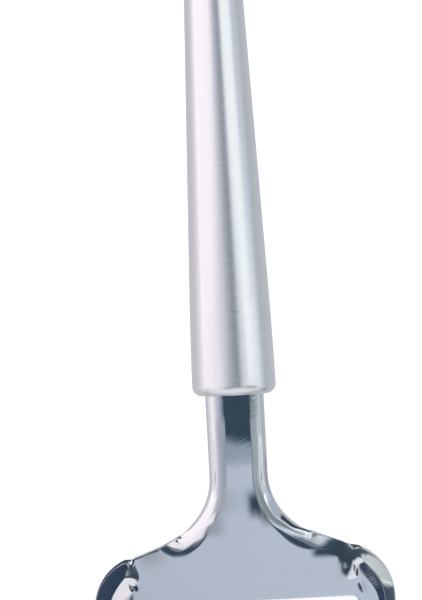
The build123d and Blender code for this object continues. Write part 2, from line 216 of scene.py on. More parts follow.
# ------------------------------------------------------------------ mesh tools
class Build:
    """Collects faces of one piece; equal points are welded at the end."""

    def __init__(self):
        self.v, self.f, self.n = [], [], 0

    def grid(self, pts, close=False, flip=False):
        """pts is rows x columns x 3."""
        pts = np.asarray(pts)
        r, c = pts.shape[:2]
        idx = self.n + np.arange(r * c).reshape(r, c)
        self.v.append(pts.reshape(-1, 3))
        self.n += r * c
        a, b = idx[:-1], idx[1:]
        if close:
            a, b = np.hstack([a, a[:, :1]]), np.hstack([b, b[:, :1]])
        q = np.stack([a[:, :-1], a[:, 1:], b[:, 1:], b[:, :-1]], -1).reshape(-1, 4)
        self.f += [tuple(x) for x in (q[:, ::-1] if flip else q)]

    def ngon(self, pts, flip=False):
        pts = np.asarray(pts)
        idx = list(range(self.n, self.n + len(pts)))
        self.v.append(pts)
        self.n += len(pts)
        self.f.append(tuple(idx[::-1] if flip else idx))

    def tris(self, pts, tri, flip=False):
        pts = np.asarray(pts)
        for t in tri:
            t = tuple(self.n + i for i in t)
            self.f.append(t[::-1] if flip else t)
        self.v.append(pts)
        self.n += len(pts)

    def make(self, name, mat, weld=2e-6):
        import bmesh
        v = np.concatenate(self.v)
        me = bpy.data.meshes.new(name)
        me.from_pydata(v.tolist(), [], self.f)
        bm = bmesh.new()
        bm.from_mesh(me)
        bmesh.ops.remove_doubles(bm, verts=bm.verts, dist=weld)
        bmesh.ops.dissolve_degenerate(bm, dist=1e-7, edges=bm.edges)
        bmesh.ops.recalc_face_normals(bm, faces=bm.faces)
        bm.to_mesh(me)
        open_edges = sum(1 for e in bm.edges if not e.is_manifold)
        bm.free()
        me.polygons.foreach_set("use_smooth", [True] * len(me.polygons))
        me.materials.append(mat)
        o = bpy.data.objects.new(name, me)
        bpy.context.scene.collection.objects.link(o)
        print("MESH %s verts %d faces %d open edges %d" % (name, len(me.vertices), len(me.polygons), open_edges))
        return o


def weighted(o, weight=50):
    w = o.modifiers.new("normals", "WEIGHTED_NORMAL")
    w.mode = "FACE_AREA"
    w.weight = weight
    return o


# ------------------------------------------------------------------- the head
def outline():
    """Right half of the head's outline: smoothed curvature integrated along its length.
    Returns tau (length from the collar), points (x, s) and the turn beta."""
    dxc = HALF - R_CORNER
    cw = (W_NOSE - R_NOSE) + math.sqrt((R_NOSE - R_CORNER) ** 2 - dxc ** 2)
    k = math.atan2(dxc, cw - (W_NOSE - R_NOSE))
    af = math.radians(A_FLARE)
    fx, fw = NECK_HALF + R_FLARE * (1 - math.cos(af)), W_FLARE + R_FLARE * math.sin(af)
    sx, sw = HALF - R_SHOULDER * (1 - math.cos(af)), W_SHOULDER - R_SHOULDER * math.sin(af)
    segs = [(S_B + W_FLARE + 1.9, 0.0), (R_FLARE * af, 1 / R_FLARE), (math.hypot(sx - fx, sw - fw), 0.0),
            (R_SHOULDER * af, -1 / R_SHOULDER), (cw - W_SHOULDER, 0.0),
            (R_CORNER * (math.pi / 2 - k), -1 / R_CORNER), (R_NOSE * k, -1 / R_NOSE)]
    step = 0.05
    total = sum(l for l, _ in segs)
    n = int(round(total / step))
    step = total / n
    mid = (np.arange(n) + 0.5) * step
    edges = np.cumsum([0] + [l for l, _ in segs])
    kap = np.zeros(n)
    for (l, kk), e0, e1 in zip(segs, edges[:-1], edges[1:]):
        kap[(mid >= e0) & (mid < e1)] = kk
    half = int(2.6 / step)
    ker = np.concatenate([np.arange(1, half + 2), np.arange(half, 0, -1)]).astype(float)
    ker /= ker.sum()
    kap = np.convolve(np.concatenate([np.full(half, kap[0]), kap, np.full(half, kap[-1])]), ker, mode="valid")[:n]
    beta = np.concatenate([[0], np.cumsum(kap) * step])
    bm = (beta[:-1] + beta[1:]) / 2
    x = NECK_HALF + np.concatenate([[0], np.cumsum(np.sin(bm)) * step])
    s = -1.9 + np.concatenate([[0], np.cumsum(np.cos(bm)) * step])
    tau = -1.9 + np.arange(n + 1) * step
    # close the small gap that smoothing leaves at the nose
    f = smooth((tau - 60.0) / (tau[-1] - 60.0))
    x = x - x[-1] * f
    s = s + (S_B + W_NOSE - s[-1]) * f
    x = x * min(1.0, (HALF - 0.01) / x.max())
    tx, ts = np.gradient(x), np.gradient(s)
    ln = np.hypot(tx, ts)
    return tau, x, s, tx / ln, ts / ln


TAU, OX, OS, TX, TS = outline()
TAU_END = TAU[-1]
print("OUTLINE length %.2f half width %.3f" % (TAU_END, OX.max()))


def at_tau(t):
    x, s = np.interp(t, TAU, OX), np.interp(t, TAU, OS)
    tx, ts = np.interp(t, TAU, TX), np.interp(t, TAU, TS)
    ln = np.hypot(tx, ts)
    return x, s, tx / ln, ts / ln


def side_params(side):
    """The two shoulders of the stamping differ a little."""
    if side > 0:
        return dict(side=1, fl_c=40.0, fl_a0=4.1, fl_b=4.3, fl_tan=1.11, droop=0.176, lift=-0.36, crown=0.006, n0=0.75,
                    ra0=0.100, ra1=0.20, rp=1.25, rb0=0.577, rb1=0.0587, hs=0.70, rt=0.3, foot=0.45)
    return dict(side=-1, fl_c=38.5, fl_a0=5.1, fl_b=4.5, fl_tan=1.30, droop=0.0, lift=0.36, crown=0.008, n0=1.5,
                ra0=0.066, ra1=0.066, rp=1.60, rb0=0.306, rb1=0.0341, hs=0.0, rt=0.2, foot=0.45)


def chaikin(pts, n=4):
    p = np.array(pts, float)
    for _ in range(n):
        q = np.empty((2 * len(p), 2))
        q[0], q[-1] = p[0], p[-1]
        q[1:-1:2] = 0.75 * p[:-1] + 0.25 * p[1:]
        q[2::2] = 0.25 * p[:-1] + 0.75 * p[1:]
        p = q
    return p


# foot of the raised side rib on the plate, from the shoulder to the front corner: (across, along the plate)
FRONT_END = [(29.5, 56.5), (30.2, 59.6), (33.0, 61.3), (37.0, 61.0), (41.0, 59.6)]
FEET = {-1: chaikin([(26.8, 21.4), (27.3, 23.6), (26.9, 25.3), (26.2, 27.0), (26.0, 28.6), (26.5, 30.2), (27.6, 31.8), (28.9, 33.3),
                     (29.9, 35.2), (30.3, 38.0), (30.2, 52.0)] + FRONT_END),
        1: chaikin([(23.4, 19.6), (25.2, 22.8), (26.8, 24.8), (27.8, 26.6), (28.5, 28.6), (29.4, 30.2), (30.5, 31.6), (32.0, 33.3), (33.2, 35.2),
                    (33.9, 37.6), (34.0, 41.0), (33.6, 52.0)] + [(32.4, 56.5), (32.4, 59.0), (34.4, 60.6), (37.5, 60.6), (41.0, 59.6)])}
# raised lip that hooks round the head of the right-hand rib
HOOK = chaikin([(27.7, 31.9), (27.2, 29.9), (27.6, 27.8), (28.9, 26.5), (31.4, 26.2)])


def line_distance(x, w, line):
    P = np.stack([np.asarray(x, float), np.asarray(w, float)], -1)
    a, b = line[:-1], line[1:] - line[:-1]
    k = np.clip(((P[:, None] - a[None]) * b[None]).sum(-1) / (b ** 2).sum(1)[None], 0, 1)
    d2 = ((P[:, None] - a[None] - k[..., None] * b[None]) ** 2).sum(-1)
    i = d2.argmin(1)
    along = (i + k[np.arange(len(P)), i]) / len(a)
    turn = b[i, 0] * (P[:, 1] - a[i, 1]) - b[i, 1] * (P[:, 0] - a[i, 0])
    return np.sqrt(d2.min(1)), along, np.sign(turn)


def rib_depth(x, w, side):
    """How far a point of the plate lies inside the rib's foot line; 0 outside."""
    foot = FEET[side]
    dist = line_distance(x, w, foot)[0]
    px, py = np.asarray(x, float)[:, None], np.asarray(w, float)[:, None]
    poly = np.vstack([foot, [(60.0, 59.6), (60.0, 20.6)]])
    x0, y0 = poly[:, 0], poly[:, 1]
    x1, y1 = np.roll(x0, -1), np.roll(y0, -1)
    cross = ((y0 > py) != (y1 > py)) & (px < (x1 - x0) * (py - y0) / np.where(y1 == y0, 1e-9, y1 - y0) + x0)
    return np.where(cross.sum(1) % 2 == 1, dist, 0.0)


def soft_min(a, b, k):
    m = np.clip(k - np.abs(a - b), 0, None) / k
    return np.minimum(a, b) - m * m * k / 4


def dent(x, w, cx, cw, ax, aw, ls, ws, depth):
    """A long shallow dent: centre, direction, half length and half width."""
    u, v = (x - cx) * ax + (w - cw) * aw, -(x - cx) * aw + (w - cw) * ax
    return -depth * np.exp(-0.5 * (u / ls) ** 2 - 0.5 * (v / ws) ** 2)


def roll_drop(rho, span, tn, n, soft, lead=0.0):
    """Fall of a rolled edge: its slope grows as rho**n to tn at span; a soft start over the first bit,
    and optionally a shallow lead-in slope."""
    rho = np.clip(rho, 0, None)
    r = np.linspace(0, max(float(rho.max()), 1e-6), 400)
    t = (tn - lead) * (r / span) ** n * smooth(r / soft) + lead * smooth(r / 0.9)
    c = np.concatenate([[0], np.cumsum((t[1:] + t[:-1]) / 2 * np.diff(r))])
    return np.interp(rho, r, c)


def section(tau, q, P):
    """Cross-section of the sheet's top face at tau, across the edge: distances d in from the
    outline (descending) and heights h."""
    x0, s0, tx, ts = at_tau(tau)
    nx, ns = ts, -tx
    w0 = s0 - S_B
    tc = P["fl_c"]
    a = P["fl_a0"] + (P["fl_b"] - P["fl_a0"]) * float(smooth((tau - 13.0) / 11.0))
    near_end = float(smooth((tau - (tc - 9.0)) / 8.0))
    n = P["n0"] + (2.8 - P["n0"]) * near_end
    lead = 0.12 * near_end
    a = a + 0.9 * near_end
    fade2 = 1 - float(smooth((tau - (tc - 6.0)) / 6.0))       # tight turn and leg fade before the end
    d_in = 5.2 + 1.9 * (1 - float(smooth((tau - 8.0) / 8.0)))
    k_in = float(smooth((tau - (tc + 2.0)) / 6.0))
    d_max = 10.6 - 1.6 * float(smooth((w0 - 27.0) / 6.0))     # clear of the slot beside it
    d_in = d_in + (d_max - d_in) * k_in
    out_end = 97.0
    if tau > out_end:
        d_in = 9.0 + (2.0 - 9.0) * float(smooth((tau - out_end) / 12.0))
    c_off = 0.9
    k_rib = 0.0
    if w0 > 18.0 and tau > tc + 3.0:
        k_rib = float(smooth(rib_depth([x0 - 0.05 * nx], [w0 - 0.05 * ns], P["side"])[0] / 3.2))
    if tau <= tc:
        th1 = math.atan(P["fl_tan"])
        th2 = th1 + math.radians(38.0) * fade2 + 1e-3
        rt, leg = 2.0, max(0.44 * fade2, 0.02)
    else:
        th1 = math.atan(P["rb0"]) * k_rib
        th2 = th1 + (math.radians(88.0) - th1) * k_rib + 1e-3
        rt, leg = P["rt"], 3.0 * k_rib + 0.02
    e = rt * (math.sin(th2) - math.sin(th1)) + leg * math.cos(th2) + RIMR * math.cos(th2)
    d = e + (d_in - e) * q
    h = np.zeros_like(d)
    if tau <= tc:
        h = h - roll_drop(a - d, a - e, P["fl_tan"], n, 0.6, lead)
    else:
        r = np.sqrt((tau - tc) ** 2 + (d + c_off) ** 2)
        h = h - roll_drop(a + c_off - r, a, P["fl_tan"], n, 0.6, lead)
    X, Wd = x0 - d * nx, w0 - d * ns
    if tau < 22.0:
        h = h - P["crown"] * 0.5 * np.clip(NECK_HALF - 1.0 - d, 0, 3.4) ** 2 * (1 - float(smooth((tau - 6.0) / 8.0)))
    if w0 > 18.0 and tau > tc + 1.0:
        D = rib_depth(X, Wd, P["side"])
        on = float(smooth((tau - tc - 1.0) / 3.0))
        ra = P["ra0"] + (P["ra1"] - P["ra0"]) * smooth((Wd - 29.0) / 9.0)
        dd = np.clip(d - e, 0, 7.0)
        outer = (0.35 + 0.65 * k_rib) * (P["rb0"] * dd - P["rb1"] * dd * np.minimum(dd, 4.6)) - P["hs"] * k_rib
        h = h + on * soft_min(ra * D ** P["rp"], outer, 0.10)
        if P["side"] > 0:
            r, u, out = line_distance(X, Wd, HOOK)
            r = r / np.where(out < 0, 1.35, 0.60)
            h = h + on * 0.38 * np.exp(-0.5 * r ** 2) * smooth(u / 0.42) * smooth((1.0 - u) / 0.4)
            h = h + dent(X, Wd, 29.8, 34.0, 0.35, 0.94, 1.1, 0.5, 0.06)
        else:
            h = h + dent(X, Wd, 28.4, 30.5, 0.5, -0.87, 0.8, 0.5, 0.20)
    if tau > tc - 1.0:
        clear = 1 - float(smooth(rib_depth([x0 - 1.2 * nx], [w0 - 1.2 * ns], P["side"])[0] / 0.8)) if w0 > 18.0 else 1.0
        h = h - 0.16 * (1 - k_rib) * clear * np.clip(P["foot"] - d, 0, None)
    if P["droop"]:
        g = float(smooth((tau - (tc - 1.0)) / 4.0)) * (1 - k_rib) * (1 - float(smooth((tau - 80.0) / 8.0)))
        rho, bb = np.clip(4.2 - d, 0, None), 1.7
        h = h - P["droop"] * g * np.where(rho < bb, rho * rho / (2 * bb), rho - bb / 2)
    ang = np.linspace(th1, th2, 9)[1:]
    d2 = d[-1] - rt * (np.sin(ang) - math.sin(th1))
    h2 = h[-1] - rt * (math.cos(th1) - np.cos(ang))
    l3 = np.linspace(0, 1, 6)[1:] * leg
    d3 = d2[-1] - l3 * math.cos(th2)
    h3 = h2[-1] - l3 * math.sin(th2)
    return np.concatenate([d, d2, d3]), np.concatenate([h, h2, h3]), d_in


def head_half(B, side, nose=None):
    P = side_params(side)
    nq = 64
    g = np.linspace(1, 0, nq)
    q = g ** 1.12
    # spacing along the outline
    knots = [(-1.9, 0.5), (7.0, 0.5), (8.5, 0.25), (19.0, 0.25), (21.0, 0.25), (36.0, 0.25), (40.0, 0.16), (49.0, 0.16), (57.0, 0.16), (62.0, 0.3), (70.0, 0.4), (86.0, 0.4), (92.0, 0.25), (100.0, 0.5), (TAU_END, 0.6)]
    kt, ks = zip(*knots)
    ts = [-1.9]
    while ts[-1] < TAU_END - 0.3:
        ts.append(ts[-1] + float(np.interp(ts[-1], kt, ks)))
    ts[-1] = TAU_END
    # rows exactly at the last row of the straight neck
    s_split = S_B + W_SOFT + 0.3
    i_split = int(np.argmin(np.abs(np.array(ts) - s_split)))
    ts[i_split] = s_split
    tops, lows, rims, inner = [], [], [], []
    for t in ts:
        x0, s0, tx, tss = at_tau(t)
        if t >= TAU_END - 1e-9:
            x0, tx, tss = 0.0, -1.0, 0.0
        nx, ns = tss, -tx                       # outward normal in (x, s)
        s0 = s0 + P["lift"] * math.exp(-((t - 46.0) / 9.0) ** 2)
        d, h, d_in = section(t, q, P)
        # 2-D normals of the section; the section runs outwards, so its outward tangent is (-dd, dh)
        ux = -np.gradient(d)
        uh = np.gradient(h)
        ln = np.hypot(ux, uh)
        ux, uh = ux / ln, uh / ln
        ux[:2], uh[:2] = 1.0, 0.0
        nxx, nhh = -uh, ux                      # normal: out and up
        bd, bh = -d - T * nxx, h - T * nhh      # bd counts outwards
        # rim
        ex, eh, utx, uth, unx, unh = -d[-1], h[-1], ux[-1], uh[-1], nxx[-1], nhh[-1]
        ph = np.linspace(0, math.pi / 2, 6)[1:]
        r1 = [(ex + RIMR * (utx * math.sin(p) + unx * (math.cos(p) - 1)), eh + RIMR * (uth * math.sin(p) + unh * (math.cos(p) - 1))) for p in ph]
        r2 = [(ex + RIMR * utx * math.sin(p) - unx * (T - RIMR * (1 - math.cos(p))), eh + RIMR * uth * math.sin(p) - unh * (T - RIMR * (1 - math.cos(p)))) for p in ph[::-1]]
        rim = np.array(r1 + r2)
        o = np.concatenate([-d, rim[:, 0], bd[::-1]])
        hh = np.concatenate([h, rim[:, 1], bh[::-1]])
        xx, ss = x0 + o * nx, s0 + o * ns
        if t >= TAU_END - 1e-9:
            xx = xx * 0.0
        tops.append(np.stack([xx * side, ss, hh], -1))
        inner.append((xx[0], ss[0]))
    rows = np.array(tops)
    if nose is not None:
        rows[-1] = nose
    B.grid(on_sheet(rows[..., 0], rows[..., 1], rows[..., 2]))
    # flat middle of the neck, as columns from the section's inner end to the centre line
    cols = np.linspace(1, 0, 7)
    neck = rows[: i_split + 1]
    for level, j in ((0.0, 0), (-T, -1)):
        xi = neck[:, j, 0][:, None] * cols[None]
        si = np.repeat(neck[:, j, 1][:, None], 7, 1)
        B.grid(on_sheet(xi, si, np.full_like(xi, level)))
    # planar part: from the split row to the nose, with the slot
    ring = [(abs(rows[i, 0, 0]), rows[i, 0, 1]) for i in range(i_split, len(rows))]
    first = [(xc, rows[i_split, 0, 1]) for xc in (abs(rows[i_split, 0, 0]) * cols[::-1])[:-1]]
    # slot boundary, from the centre line round the corner to the slit beside the lip
    path, inward = [], []
    path += [(xv, SLOT_W0) for xv in np.linspace(0, SLOT_HALF - SLOT_R, 12)[:-1]]
    inward += [(0.0, -1.0)] * 11
    for aa in np.linspace(-90, 0, 15):
        r = math.radians(aa)
        path.append((SLOT_HALF - SLOT_R + SLOT_R * math.cos(r), SLOT_W0 + SLOT_R + SLOT_R * math.sin(r)))
        inward.append((math.cos(r), math.sin(r)))
    for wv in np.linspace(SLOT_W0 + SLOT_R, SLOT_W1, 12)[1:-1]:
        path.append((SLOT_HALF, wv))
        inward.append((1.0, 0.0))
    hw = (SLOT_HALF - LIP_HALF) / 2
    for aa in np.linspace(0, 180, 13):
        r = math.radians(aa)
        path.append((LIP_HALF + hw + hw * math.cos(r), SLOT_W1 + hw * math.sin(r)))
        inward.append((math.cos(r), math.sin(r)))
    ph = np.linspace(0, math.pi / 2, 6)
    rim_o = np.concatenate([RIMR * (1 - np.sin(ph)), RIMR * (1 - np.sin(ph[::-1]))])
    rim_h = np.concatenate([-RIMR * (1 - np.cos(ph)), -T + RIMR * (1 - np.cos(ph[::-1]))])
    pr = np.array([[(px + ix * o, S_B + pw + iw * o, hh) for o, hh in zip(rim_o, rim_h)] for (px, pw), (ix, iw) in zip(path, inward)])
    B.grid(on_sheet(pr[..., 0] * side, pr[..., 1], pr[..., 2]))
    edge = [(p[0, 0], p[0, 1]) for p in pr]
    # lip, its rows from the root to the cutting edge
    lx = np.linspace(0, LIP_HALF - RIMR, 9)
    root = [(xv, S_B + SLOT_W1) for xv in lx]
    ws = np.concatenate([np.linspace(SLOT_W1, LIP_W + 2.4, 13), np.linspace(LIP_W + 2.4, LIP_W, 8)[1:]])
    lip = []
    for wv in ws:
        f = (SLOT_W1 - wv) / (SLOT_W1 - LIP_W)
        z = -LIP_DROP * float(smooth(np.array(min(f * 1.12, 1.0))) * 0.35 + 0.65 * f ** 1.25)
        th = T if wv > LIP_W + 2.4 else 0.10 + (T - 0.10) * (wv - LIP_W) / 2.4
        rr = min(RIMR, th / 2.2)
        row = [(xv, z) for xv in lx]
        row += [(LIP_HALF - RIMR + RIMR * math.sin(p), z - rr * (1 - math.cos(p))) for p in ph[1:]]
        row += [(LIP_HALF - RIMR + RIMR * math.sin(p), z - th + rr * (1 - math.cos(p))) for p in ph[::-1][:-1]]
        row += [(xv, z - th) for xv in lx[::-1]]
        lip.append([(xv, S_B + wv, hv) for xv, hv in row])
    lip = np.array(lip)
    B.grid(on_sheet(lip[..., 0] * side, lip[..., 1], lip[..., 2]))
    tip = lip[-1]
    nl = len(tip) // 2
    B.grid(np.stack([on_sheet(tip[:nl, 0] * side, tip[:nl, 1], tip[:nl, 2]), on_sheet(tip[::-1][:nl, 0] * side, tip[::-1][:nl, 1], tip[::-1][:nl, 2])]))
    # polygon of the flat sheet
    poly = first + ring + root[:-1] + [None] + edge[::-1]
    cut = poly.index(None)
    poly = poly[:cut] + poly[cut + 1:]
    clean = []
    for p in poly:
        if not clean or math.hypot(p[0] - clean[-1][0], p[1] - clean[-1][1]) > 1e-4:
            clean.append(p)
    if math.hypot(clean[0][0] - clean[-1][0], clean[0][1] - clean[-1][1]) < 1e-4:
        clean.pop()
    n = len(clean)
    out = delaunay_2d_cdt([Vector(p) for p in clean], [(i, (i + 1) % n) for i in range(n)], [], 1, 1e-6)
    vs = np.array([(v.x, v.y) for v in out[0]])
    tri = out[2]
    print("FLAT side %d boundary %d verts %d tris %d" % (side, n, len(vs), len(tri)))
    for level in (0.0, -T):
        B.tris(on_sheet(vs[:, 0] * side, vs[:, 1], np.full(len(vs), level)), tri)
    return rows[0], rows[-1]


def make_head():
    B = Build()
    e1, nose = head_half(B, +1)
    e2, _ = head_half(B, -1, nose)
    # end of the channel inside the cap, with the same points as the middle's columns
    for e in (e1, e2):
        cols = np.linspace(0, 1, 7)[:-1]
        prof = np.concatenate([[(e[0, 0] * c, e[0, 1], 0.0) for c in cols], e, [(e[-1, 0] * c, e[-1, 1], -T) for c in cols[::-1]]])
        B.ngon(on_sheet(prof[:, 0], prof[:, 1], prof[:, 2]))
    # tang: flat barbed strip that runs on into the handle
    tang = [(0, -1.9), (4.2, -1.9), (4.2, -2.6), (5.5, -3.4), (5.5, -9.0), (4.1, -9.8), (5.5, -13.5), (4.1, -14.3), (5.5, -18.0), (4.1, -18.8), (4.5, -24.0), (3.0, -34.0), (0, -34.0)]
    full = tang + [(-x, s) for x, s in tang[::-1][1:-1]]
    full = np.array(full)
    up = on_sheet(full[:, 0], full[:, 1], np.full(len(full), -0.02))
    dn = on_sheet(full[:, 0], full[:, 1], np.full(len(full), -T + 0.02))
    B.ngon(up)
    B.ngon(dn, flip=True)
    B.grid(np.stack([up, dn]), close=True)
    o = B.make("blade_sheet", M_HEAD)
    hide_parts("blade_head")
    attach(o, "slicer")
    return weighted(o)


# ----------------------------------------------------------------- the handle
def tube_radius(t):
    s0, s1 = -0.0107, -(R_MID - R_REAR) / (L_TUBE - T_MID)
    t = np.asarray(t, float)
    u = np.clip(t - RIM, 0, T_MID - RIM)
    k = (s1 - s0) / (T_MID - RIM)
    return R_COLLAR + s0 * u + 0.5 * k * u * u + s1 * np.clip(t - T_MID, 0, None)


def lathe(prof, seg=256):
    """prof: (radius, t) pairs, t behind the handle's front face."""
    prof = np.array(prof, float)
    ang = np.arange(seg) * 2 * math.pi / seg
    r, t = prof[:, 0][:, None], prof[:, 1][:, None]
    pts = np.stack([r * np.cos(ang) + 0 * t, Y0 + t + 0 * ang, H + r * np.sin(ang) + 0 * t], -1) * MM
    B = Build()
    B.grid(pts, close=True)
    return B


def make_handle():
    rf = R_COLLAR - RIM
    prof = []
    for a in np.linspace(-90, 0, 25):
        r = math.radians(a)
        prof.append((rf + RIM * math.cos(r), RIM + RIM * math.sin(r)))
    ts = np.concatenate([np.linspace(RIM, T_MID, 28)[1:], np.linspace(T_MID, L_TUBE - 0.25, 34)[1:]])
    prof += [(float(tube_radius(t)), float(t)) for t in ts]
    re = float(tube_radius(L_TUBE))
    prof += [(re - 0.08, L_TUBE - 0.06), (re - 0.25, L_TUBE), (re - WALL + 0.1, L_TUBE), (re - WALL, L_TUBE - 0.1)]
    prof += [(float(tube_radius(t)) - WALL, float(t)) for t in np.linspace(L_TUBE - 0.5, RIM, 20)]
    for a in np.linspace(0, -90, 10)[1:]:
        r = math.radians(a)
        prof.append((rf + (RIM - WALL) * math.cos(r), RIM + (RIM - WALL) * math.sin(r)))
    prof.append(prof[0])
    B = lathe(prof)
    o = B.make("handle_shell", M_HANDLE)
    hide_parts("handle_tube")
    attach(o, "slicer")
    return weighted(o)


# ------------------------------------------------------------------ hanging end
def make_ring():
    B = Build()
    A, W = 128, 28
    u = np.arange(A + 1) * 2 * math.pi / A
    v = np.arange(W) * 2 * math.pi / W
    U, V = np.meshgrid(u, v, indexing="ij")
    cx, cz = math.cos(DROOP), math.sin(DROOP)
    rad = R_RING + R_WIRE * np.cos(V)
    px = rad * np.sin(U)
    out = R_RING - rad * np.cos(U)
    up = R_WIRE * np.sin(V)
    y = Y0 + T_EYE + out * cx + up * cz
    z = H - out * cz + up * cx
    B.grid(np.stack([px, y, z], -1) * MM, close=True)
    o = B.make("wire_ring", M_WIRE)
    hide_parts("hanging_ring")
    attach(o, "ring")
    return o


head = make_head()
handle = make_handle()
ring = make_ring()


for n, m in (("front_cap", M_CAP), ("tang_plug", M_PLUG), ("end_cap", M_HANDLE)):
    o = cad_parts[n]
    if len(o.material_slots) == 0:
        o.data.materials.append(m)
    for sl in o.material_slots:
        sl.material = m

# ------------------------------------------------------------------ the studio
floor = Build()
fr = 0.9
floor.grid([[(-fr, -fr, -0.00005), (fr, -fr, -0.00005)], [(-fr, fr, -0.00005), (fr, fr, -0.00005)]])
m, nt, b = new_mat("table")
b.inputs["Base Color"].default_value = (0.86, 0.86, 0.87, 1)
b.inputs["Roughness"].default_value = 0.9
b.inputs["Specular IOR Level"].default_value = 0.0
b.inputs["Emission Color"].default_value = (0.97, 0.98, 1.0, 1)
lp = node(nt, "ShaderNodeLightPath")
em = node(nt, "ShaderNodeMapRange")
nt.links.new(lp.outputs["Is Camera Ray"], em.inputs["Value"])
em.inputs["To Min"].default_value, em.inputs["To Max"].default_value = 0.12, 0.62
nt.links.new(em.outputs["Result"], b.inputs["Emission Strength"])
# painted light and shade: in the steel the table shows as a glowing soft grey that is lighter to the left, where the
# light falls, and darker to the right, in the tool's shadow
tc = node(nt, "ShaderNodeTexCoord")
sp = node(nt, "ShaderNodeSeparateXYZ")
nt.links.new(tc.outputs["Object"], sp.inputs[0])
across = node(nt, "ShaderNodeMapRange")
nt.links.new(sp.outputs[0], across.inputs["Value"])
across.inputs["From Min"].default_value, across.inputs["From Max"].default_value = -0.10, 0.10
painted_floor_light = node(nt, "ShaderNodeValToRGB")
el = painted_floor_light.color_ramp.elements
el[0].position, el[0].color = 0.0, (0.97, 0.95, 0.99, 1)
el[1].position, el[1].color = 1.0, (0.52, 0.56, 0.60, 1)
for at, c in ((0.40, (0.64, 0.63, 0.67, 1)), (0.58, (0.60, 0.62, 0.66, 1)), (0.70, (0.56, 0.60, 0.64, 1))):
    e = el.new(at)
    e.color = c
nt.links.new(across.outputs["Result"], painted_floor_light.inputs["Fac"])
glow = node(nt, "ShaderNodeEmission", in_Strength=1.0)
nt.links.new(painted_floor_light.outputs["Color"], glow.inputs["Color"])
either = node(nt, "ShaderNodeMixShader")
nt.links.new(lp.outputs["Is Glossy Ray"], either.inputs[0])
nt.links.new(b.outputs[0], either.inputs[1])
nt.links.new(glow.outputs[0], either.inputs[2])
nt.links.new(either.outputs[0], [n for n in nt.nodes if n.type == "OUTPUT_MATERIAL"][0].inputs[0])
table = floor.make("table", m)

STEEL = (0.735, 0.75, 0.775)


def lin(r, g, b):
    """The radiance that polished steel shows as this screen colour."""
    f = lambda c: ((c / 255 + 0.055) / 1.055) ** 2.4 if c > 10 else c / 255 / 12.92
    return tuple(f(c) / k for c, k in zip((r, g, b), STEEL))


# two softboxes close above the handle, with a gap between them that narrows towards the handle's end
LEFT_EDGE = [(-29, -146), (-25, -139), (-6, -88), (11, -71), (34, -49), (62, -41), (89, -30), (140, -22), (240, -17)]
RIGHT_EDGE = [(-29, 112), (-25, 106), (-6, 74), (11, 55), (34, 49), (62, 46), (89, 36), (140, 31), (240, 28)]
RIGHT_OUTER = [(-29, 900), (-25, 900), (-6, 650), (11, 400), (34, 240), (62, 178), (89, 190), (140, 200), (240, 220)]
CARD_Z = H + 120.0


def softbox(name, inner, outer, colour, strength, lift=0.0):
    pts = np.array([[(x, y, CARD_Z + lift) for y, x in inner], [(x, y, CARD_Z + lift) for y, x in outer]]) * MM
    c = Build()
    c.grid(pts)
    cm, cnt, cb = new_mat(name)
    cnt.nodes.remove(cb)
    e = node(cnt, "ShaderNodeEmission")
    e.inputs["Color"].default_value = (*colour, 1)
    e.inputs["Strength"].default_value = strength
    cnt.links.new(e.outputs[0], [n for n in cnt.nodes if n.type == "OUTPUT_MATERIAL"][0].inputs[0])
    o = c.make(name, cm)
    o.visible_camera = False
    o.visible_shadow = False
    return o


softbox("softbox_left", LEFT_EDGE, [(y, -800) for y, _ in LEFT_EDGE], (1.0, 0.94, 0.98), 1.28)
softbox("softbox_right", RIGHT_EDGE, RIGHT_OUTER, (0.93, 0.98, 1.0), 1.22)
softbox("softbox_right_front", [(-29, 112), (-25, 106), (-8, 78)], [(-29, 600), (-25, 600), (-8, 600)], (0.93, 0.98, 1.0), 2.6, -0.5)
softbox("softbox_left_far", [(-80, -330), (-29, -330)], [(-80, -900), (-29, -900)], (1.0, 0.94, 0.98), 1.15, 0.5)


